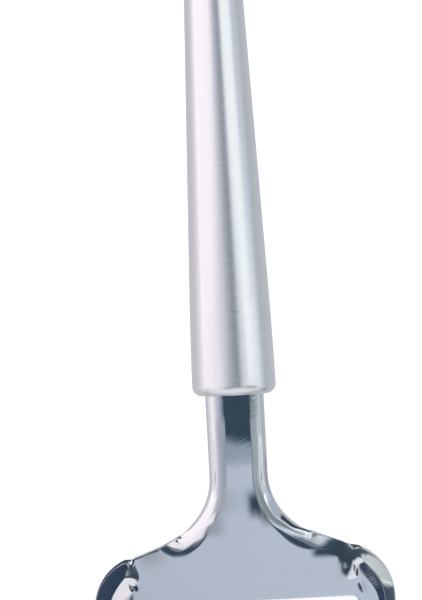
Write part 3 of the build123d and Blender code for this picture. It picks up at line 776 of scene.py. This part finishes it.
def low_panel(name, x0, x1, y0, y1, stops, z, fade_x=(0.0, 0.0), fade_y=(0.0, 0.0)):
    """A small glowing panel close above the head, seen only in the steel's reflections: a painted reflection, light or
    dark. Its colours run along x (stops in mm) and its edges are soft.
    """
    c = Build()
    c.grid(np.array([[(x0, y0, z), (x1, y0, z)], [(x0, y1, z), (x1, y1, z)]]) * MM)
    cm, cnt, cb = new_mat(name)
    cnt.nodes.remove(cb)
    tcn = node(cnt, "ShaderNodeTexCoord")
    spn = node(cnt, "ShaderNodeSeparateXYZ")
    cnt.links.new(tcn.outputs["Object"], spn.inputs[0])
    rg = node(cnt, "ShaderNodeMapRange")
    cnt.links.new(spn.outputs[0], rg.inputs["Value"])
    rg.inputs["From Min"].default_value, rg.inputs["From Max"].default_value = x0 * MM, x1 * MM
    rp = node(cnt, "ShaderNodeValToRGB")
    el = rp.color_ramp.elements
    while len(el) > 1:
        el.remove(el[0])
    for i, (at, colour) in enumerate(stops):
        at = (at - x0) / (x1 - x0)
        e = el[0] if i == 0 else el.new(at)
        e.position = at
        e.color = (*lin(*colour), 1)
    cnt.links.new(rg.outputs["Result"], rp.inputs["Fac"])
    e = node(cnt, "ShaderNodeEmission", in_Strength=1.0)
    cnt.links.new(rp.outputs["Color"], e.inputs["Color"])
    alpha = None
    for axis, lo, hi, (f0, f1) in ((0, x0, x1, fade_x), (1, y0, y1, fade_y)):
        for a, b, f in ((lo, lo + f0, f0), (hi, hi - f1, f1)):
            if f == 0:
                continue
            st = node(cnt, "ShaderNodeMapRange", interpolation_type="SMOOTHSTEP")
            cnt.links.new(spn.outputs[axis], st.inputs["Value"])
            st.inputs["From Min"].default_value, st.inputs["From Max"].default_value = a * MM, b * MM
            if alpha is None:
                alpha = st.outputs["Result"]
            else:
                mu = node(cnt, "ShaderNodeMath", operation="MULTIPLY")
                cnt.links.new(alpha, mu.inputs[0])
                cnt.links.new(st.outputs["Result"], mu.inputs[1])
                alpha = mu.outputs[0]
    out = [n for n in cnt.nodes if n.type == "OUTPUT_MATERIAL"][0]
    if alpha is None:
        cnt.links.new(e.outputs[0], out.inputs[0])
    else:
        clear = node(cnt, "ShaderNodeBsdfTransparent")
        ms = node(cnt, "ShaderNodeMixShader")
        cnt.links.new(alpha, ms.inputs[0])
        cnt.links.new(clear.outputs[0], ms.inputs[1])
        cnt.links.new(e.outputs[0], ms.inputs[2])
        cnt.links.new(ms.outputs[0], out.inputs[0])
    o = c.make(name, cm)
    o.visible_camera = False
    o.visible_shadow = False
    o.visible_diffuse = False
    return o


# painted reflections, light and dark, in the polished neck: panels just above it that only the steel mirrors
low_panel("panel_neck_left", -17, -2.8, -52.0, -31, [(-14, (214, 211, 220)), (-11, (192, 193, 205)), (-9.3, (177, 180, 194)), (-6.9, (163, 167, 181)), (-5.3, (154, 161, 173)), (-4.1, (150, 159, 169)), (-3.3, (150, 161, 173))],
         15.0, (3.0, 0.7), (1.5, 4.0))
low_panel("panel_neck_right", 3.5, 24.0, -54.0, -31, [(3.5, (104, 118, 131)), (4.0, (122, 134, 147)), (4.7, (140, 151, 162)), (6.7, (150, 160, 169)), (11, (153, 162, 169)), (13, (158, 167, 174)), (16.5, (186, 193, 203)), (20, (208, 213, 222))],
         15.0, (0.6, 3.0), (4.5, 4.0))
# painted reflections in the curls where the neck widens
low_panel("panel_curl_right", 3.9, 22.0, -61.0, -48.6, [(3.9, (120, 132, 144)), (5.2, (116, 128, 138)), (8, (140, 150, 157)), (12, (126, 137, 145)), (18, (120, 130, 137)), (22, (156, 164, 170))],
         15.2, (0.5, 4.0), (3.5, 4.0))
low_panel("panel_curl_left", -14.0, -3.2, -59.0, -50.0, [(-14, (200, 198, 210)), (-9, (176, 178, 190)), (-5, (156, 162, 174)), (-3.2, (160, 168, 180))],
         15.2, (3.0, 0.6), (3.5, 1.5))
# painted reflections, light and dark, in the neck, the left flange and the side ribs
low_panel("panel_neck_corner", 1.2, 5.6, -61.6, -51.8, [(1.2, (48, 64, 82)), (5.6, (54, 68, 80))], 14.6, (2.1, 0.6), (5.2, 3.4))
low_panel("panel_neck_corner_low", 3.9, 8.8, -63.4, -55.6, [(4.0, (84, 98, 114)), (8.8, (84, 98, 112))], 14.4, (2.8, 1.0), (4.4, 3.2))
low_panel("panel_neck_block", -4.4, 0.6, -45.0, -36.0, [(-4.4, (142, 153, 166)), (0.6, (136, 148, 162))], 14.8, (0.0, 4.4), (3.0, 4.6))
low_panel("panel_flange_left", -150, -27, -61, -36.0, [(-150, (244, 238, 240)), (-60, (238, 232, 236)), (-27, (214, 212, 220))], H + 60.0, (10.0, 5.0), (4.0, 4.0))
low_panel("panel_rib_left", -130, -28.6, -86, -61, [(-130, (66, 78, 98)), (-45, (50, 64, 84)), (-28.6, (44, 58, 76))], H + 16.0, (10.0, 0.5), (2.0, 1.0))
low_panel("panel_rib_left_side", -29.2, -21.5, -71.8, -68.6, [(-29, (44, 58, 76)), (-21.5, (44, 58, 76))], H + 16.2, (0.0, 1.0), (1.0, 0.0))
low_panel("panel_rib_left_top", -29.2, -24.2, -68.6, -59, [(-29, (44, 58, 76)), (-24.2, (44, 58, 76))], H + 16.4, (0.0, 0.8), (0.0, 1.0))
low_panel("panel_rib_left_rim", -66.0, -35.0, -84.0, -57.0, [(-66, (62, 74, 94)), (-35, (50, 64, 84))], 15.0, (8.0, 1.5), (2.0, 2.0))
low_panel("panel_band_right_low", 16.6, 25.0, -72.3, -68.2, [(16.6, (60, 74, 88)), (25, (52, 68, 80))], 15.3, (2.6, 0.0), (1.9, 0.0))
low_panel("panel_rib_right_top", 23.6, 35.0, -69.5, -53, [(23.6, (50, 66, 78)), (35, (66, 80, 90))], 15.0, (1.2, 1.2), (0.0, 1.0))
low_panel("panel_rib_right_band", 34.0, 76.0, -66.5, -55, [(34, (62, 76, 88)), (76, (110, 122, 130))], 15.4, (0.4, 30.0), (3.5, 1.0))
low_panel("panel_rib_right_low", 23.8, 27.2, -77.0, -69.5, [(23.9, (50, 66, 78)), (27.2, (54, 68, 80))], 15.2, (0.5, 0.4), (4.0, 0.0))
# the shadow on the table close under the left edge
low_panel("panel_table_right", 30.0, 64.0, -66.0, -45.0, [(30, (60, 74, 84)), (64, (84, 96, 106))], 0.3, (1.0, 6.0), (2.0, 3.0))
low_panel("panel_table_left", -70, -27, -95, -57, [(-70, (84, 94, 108)), (-27, (56, 68, 84))], 0.3, (10.0, 2.0), (6.0, 3.0))
# painted reflections: light bands along the left flare
low_panel("panel_band_left_upper", -18.0, -7.4, -60.6, -56.3, [(-18, (244, 240, 244)), (-10, (236, 231, 239)), (-7.4, (190, 190, 203))], 15.0, (2.0, 1.2), (1.2, 1.2))
low_panel("panel_band_left_lower", -18.0, -10.0, -64.4, -59.6, [(-18, (244, 240, 244)), (-12.5, (232, 228, 237)), (-10, (176, 178, 192))], 14.8, (2.0, 1.4), (1.4, 1.2))
# painted reflections: soft halos beside the curls
low_panel("panel_halo_neck", -7.0, 6.0, -61.0, -50.0, [(-7, (156, 163, 175)), (-4, (162, 170, 179)), (0, (171, 182, 197)), (2, (157, 169, 185)), (6, (120, 134, 152))], 15.6, (0.0, 1.0), (5.0, 4.0))
low_panel("panel_halo_left", -10.5, -2.5, -66.0, -57.0, [(-10.5, (140, 147, 160)), (-2.5, (160, 168, 180))], 15.8, (1.0, 4.0), (3.5, 3.5))
low_panel("panel_halo_rib_left", -27.2, -18.0, -73.5, -66.5, [(-27, (150, 159, 170)), (-18, (164, 173, 183))], 15.6, (2.6, 4.5), (4.5, 2.0))
# painted shadow on the table beside the left rib: a dark sheet that only the steel sees
low_panel("panel_table_rib", -50, -18, -62, -54, [(-50, (70, 82, 96)), (-18, (56, 68, 84))], 0.45, (2.0, 2.0), (2.0, 2.0))
# painted reflection of a pale band along the right rib's outer slope
low_panel("panel_slope_right", 31.0, 170, -78.5, -49, [(31, (180, 188, 193)), (40, (196, 203, 204)), (60, (182, 190, 194)), (90, (198, 205, 208)), (170, (168, 176, 182))], H + 16.0, (1.0, 20.0), (2.0, 1.0))

# world: what the polished steel mirrors.  A direction is given by lon, its lean to the right of the
# zenith in the plane across the tool, and lat, its lean out of that plane towards the handle's end.
sc = bpy.context.scene
world = bpy.data.worlds.new("studio")
sc.world = world
world.use_nodes = True
wt = world.node_tree
wt.nodes.clear()


def wmath(op, a, b=None, c=None):
    n = wt.nodes.new("ShaderNodeMath")
    n.operation = op
    for i, v in enumerate((a, b, c)):
        if v is None:
            continue
        if isinstance(v, (int, float)):
            n.inputs[i].default_value = v
        else:
            wt.links.new(v, n.inputs[i])
    return n.outputs[0]


def wstep(v, lo, hi):
    n = wt.nodes.new("ShaderNodeMapRange")
    n.interpolation_type = "SMOOTHSTEP"
    wt.links.new(v, n.inputs["Value"])
    n.inputs["From Min"].default_value = lo
    n.inputs["From Max"].default_value = hi
    return n.outputs["Result"]


def wmix(fac, a, b):
    n = wt.nodes.new("ShaderNodeMix")
    n.data_type = "RGBA"
    wt.links.new(fac, n.inputs["Factor"])
    for key, v in (("A", a), ("B", b)):
        if isinstance(v, tuple):
            n.inputs[key].default_value = (*v, 1)
        else:
            wt.links.new(v, n.inputs[key])
    return n.outputs["Result"]


def ramp(v, stops, gain=1.0):
    """Colours along lon, from -120 to +120 degrees."""
    n = wt.nodes.new("ShaderNodeMapRange")
    wt.links.new(v, n.inputs["Value"])
    n.inputs["From Min"].default_value, n.inputs["From Max"].default_value = -120.0, 120.0
    r = wt.nodes.new("ShaderNodeValToRGB")
    el = r.color_ramp.elements
    while len(el) > 1:
        el.remove(el[0])
    for i, (x, c) in enumerate(stops):
        e = el[0] if i == 0 else el.new((x + 120) / 240)
        e.position = (x + 120) / 240
        e.color = (*(gain * ch for ch in lin(*c)), 1)
    wt.links.new(n.outputs["Result"], r.inputs["Fac"])
    return r.outputs["Color"]


tc = wt.nodes.new("ShaderNodeTexCoord")
sep = wt.nodes.new("ShaderNodeSeparateXYZ")
wt.links.new(tc.outputs["Generated"], sep.inputs[0])
DX, DY, DZ = sep.outputs
lon = wmath("MULTIPLY", wmath("ARCTAN2", DX, DZ), 57.2958)
lat = wmath("MULTIPLY", wmath("ARCSINE", DY), 57.2958)

NAVY, PALE = (46, 60, 82), (226, 235, 234)
front = ramp(lon, [(-110, (200, 203, 215)), (-62, (222, 220, 232)), (-44, (170, 175, 190)), (-34, NAVY), (-10, NAVY),
                   (-4, (172, 180, 192)), (0, (178, 187, 202)), (4, (183, 194, 211)), (8, (238, 232, 236)), (30, (224, 217, 226)), (40, (110, 122, 134)), (60, (70, 84, 98)),
                   (70, (200, 208, 215)), (84, (215, 222, 228)), (97, (165, 175, 182))])
front2 = ramp(lon, [(-110, (221, 212, 213)), (-70, (222, 220, 232)), (-52, (178, 180, 195)), (-40, (168, 172, 186)), (-35, (166, 169, 183)), (-24, (150, 156, 172)), (-17, (142, 149, 163)), (-12.5, (118, 127, 142)), (-10, (72, 84, 104)), (-8, NAVY), (-6.5, (58, 72, 92)),
                    (-3, (156, 168, 184)), (3, (156, 168, 184)), (8, (62, 76, 90)), (15, (54, 68, 80)), (60, (70, 84, 96)),
                    (72, (214, 222, 228)), (84, (226, 232, 236)), (97, (165, 175, 182))])
front3 = ramp(lon, [(-110, (221, 212, 213)), (-70, (222, 220, 232)), (-52, (178, 180, 195)), (-40, (168, 172, 186)), (-35, (166, 169, 183)), (-24, (150, 156, 172)), (-17, (142, 149, 163)), (-12.5, (118, 127, 142)), (-10, (72, 84, 104)), (-8, NAVY), (-6.5, (58, 72, 92)),
                    (-3, (144, 158, 174)), (5, (138, 152, 168)), (9, (70, 84, 98)), (16, (70, 84, 98)), (21, (214, 222, 220)), (60, PALE),
                    (72, (214, 222, 228)), (84, (226, 232, 236)), (97, (165, 175, 182))])
middle = ramp(lon, [(-97, (226, 218, 220)), (-84, (241, 236, 243)), (-68, (222, 219, 232)), (-50, (186, 188, 203)),
                    (-30, (152, 161, 177)), (-20, (120, 132, 148)), (-8, (70, 84, 100)), (0, (60, 76, 92)), (10, (84, 100, 112)),
                    (30, (80, 97, 108)), (50, (96, 110, 120)), (60, (120, 132, 141)), (70, (140, 149, 157)), (77, (152, 162, 170)), (84, (186, 195, 204)),
                    (97, (167, 176, 183))])
back = ramp(lon, [(-100, (255, 250, 254)), (-42, (255, 250, 254)), (-30, (206, 207, 218)), (-12, (186, 194, 208)),
                  (14, (160, 172, 186)), (28, (196, 208, 222)), (38, (246, 252, 255)), (56, (246, 252, 255)), (66, (165, 172, 186)),
                  (96, (165, 175, 190))], gain=1.25)
far = ramp(lon, [(-100, (255, 250, 254)), (-42, (255, 250, 254)), (-24, (240, 234, 240)), (-12, (214, 214, 224)),
                 (14, (160, 172, 186)), (28, (196, 208, 222)), (38, (246, 252, 255)), (56, (246, 252, 255)), (66, (165, 172, 186)),
                 (96, (165, 175, 190))])
skew = wmath("SUBTRACT", lat, wmath("MULTIPLY", wmath("ABSOLUTE", lon), 0.12))
right = wmath("MINIMUM", wmath("MAXIMUM", wmath("SUBTRACT", lon, 3.5), 0.0), 3.5)
left = wmath("MINIMUM", wmath("MAXIMUM", wmath("SUBTRACT", -9.0, lon), 0.0), 2.0)
bound = wmath("ADD", skew, wmath("MULTIPLY_ADD", right, 3.0, wmath("MULTIPLY", left, 4.0)))
col = wmix(wstep(bound, -16.5, -13.0), front, front2)
col = wmix(wstep(skew, -16.5, -9.5), col, front3)
col = wmix(wstep(lat, -4.0, -2.1), col, middle)
col = wmix(wstep(lat, -1.0, 1.5), col, back)
col = wmix(wstep(lat, 8.0, 12.0), col, far)
col = wmix(wmath("MULTIPLY", wstep(lat, 31.0, 40.0), wstep(lon, -8.0, 2.0)), col, lin(58, 72, 82))
high = wmath("SUBTRACT", lat, wmath("MULTIPLY", wmath("MAXIMUM", wmath("SUBTRACT", -45.0, lon), 0.0), 0.8))
col = wmix(wmath("MAXIMUM", wstep(high, 33.0, 42.0), wstep(lat, 56.0, 66.0)), col, lin(54, 66, 80))
col = wmix(wstep(lat, -36.0, -28.0), lin(222, 226, 234), col)
# the dark shape of the camera and its arm overhead, leaning back and a little to the right
cx = wmath("SUBTRACT", lon, wmath("MULTIPLY_ADD", lat, 0.45, 5.0))
e1 = wmath("POWER", wmath("DIVIDE", cx, 15.0), 2.0)
e2 = wmath("POWER", wmath("DIVIDE", wmath("MAXIMUM", wmath("SUBTRACT", lat, 4.0), 0.0), 12.0), 2.0)
core = wmath("SUBTRACT", 1.0, wstep(wmath("SQRT", wmath("ADD", e1, e2)), 0.58, 1.2))
# its lower end is soft and runs lower to the right
low = wmath("ADD", lat, wmath("MULTIPLY", wmath("MAXIMUM", lon, 0.0), 0.38))
core = wmath("MULTIPLY", core, wmath("SUBTRACT", 1.0, wmath("POWER", wmath("SUBTRACT", 1.0, wstep(low, -8.5, -2.1)), 2.2)))
# the satin handle, which looks a little farther back, shows it paler
core = wmath("MULTIPLY", core, wmath("SUBTRACT", 1.0, wmath("MULTIPLY", wstep(lat, -0.4, 1.8), 0.28)))
col = wmix(core, col, lin(50, 67, 82))
bg = wt.nodes.new("ShaderNodeBackground")
wt.links.new(col, bg.inputs["Color"])
bg.inputs["Strength"].default_value = 1.0
plain = wt.nodes.new("ShaderNodeBackground")
plain.inputs["Color"].default_value = (0.93, 0.94, 0.96, 1)
plain.inputs["Strength"].default_value = 1.0
lp = wt.nodes.new("ShaderNodeLightPath")
mx = wt.nodes.new("ShaderNodeMixShader")
wt.links.new(lp.outputs["Is Camera Ray"], mx.inputs[0])
wt.links.new(bg.outputs[0], mx.inputs[1])
wt.links.new(plain.outputs[0], mx.inputs[2])
wo = wt.nodes.new("ShaderNodeOutputWorld")
wt.links.new(mx.outputs[0], wo.inputs["Surface"])

sc.view_settings.view_transform = "Standard"
sc.view_settings.look = "None"

# ------------------------------------------------------------------ the camera
PX = 0.2525                                    # millimetres per pixel at the handle's axis
DIST = 880.0
roll = math.atan(0.0532)
R_ = Vector((math.cos(roll), -math.sin(roll), 0))
U_ = Vector((math.sin(roll), math.cos(roll), 0))
off = R_ * ((211 - 234.45) * PX) + U_ * (-(300 - 394.6) * PX)
cam_pos = Vector((off.x, Y0 + off.y, H + DIST)) * MM
cd = bpy.data.cameras.new("camera")
cam = bpy.data.objects.new("camera", cd)
sc.collection.objects.link(cam)
cam.location = cam_pos
cam.rotation_euler = (0, 0, -roll)
cd.sensor_fit = "VERTICAL"
cd.sensor_height = 24.0
cd.lens = 24.0 / (2 * math.tan(math.atan(300 * PX / DIST)))
cd.clip_start, cd.clip_end = 0.01, 20.0
sc.camera = cam
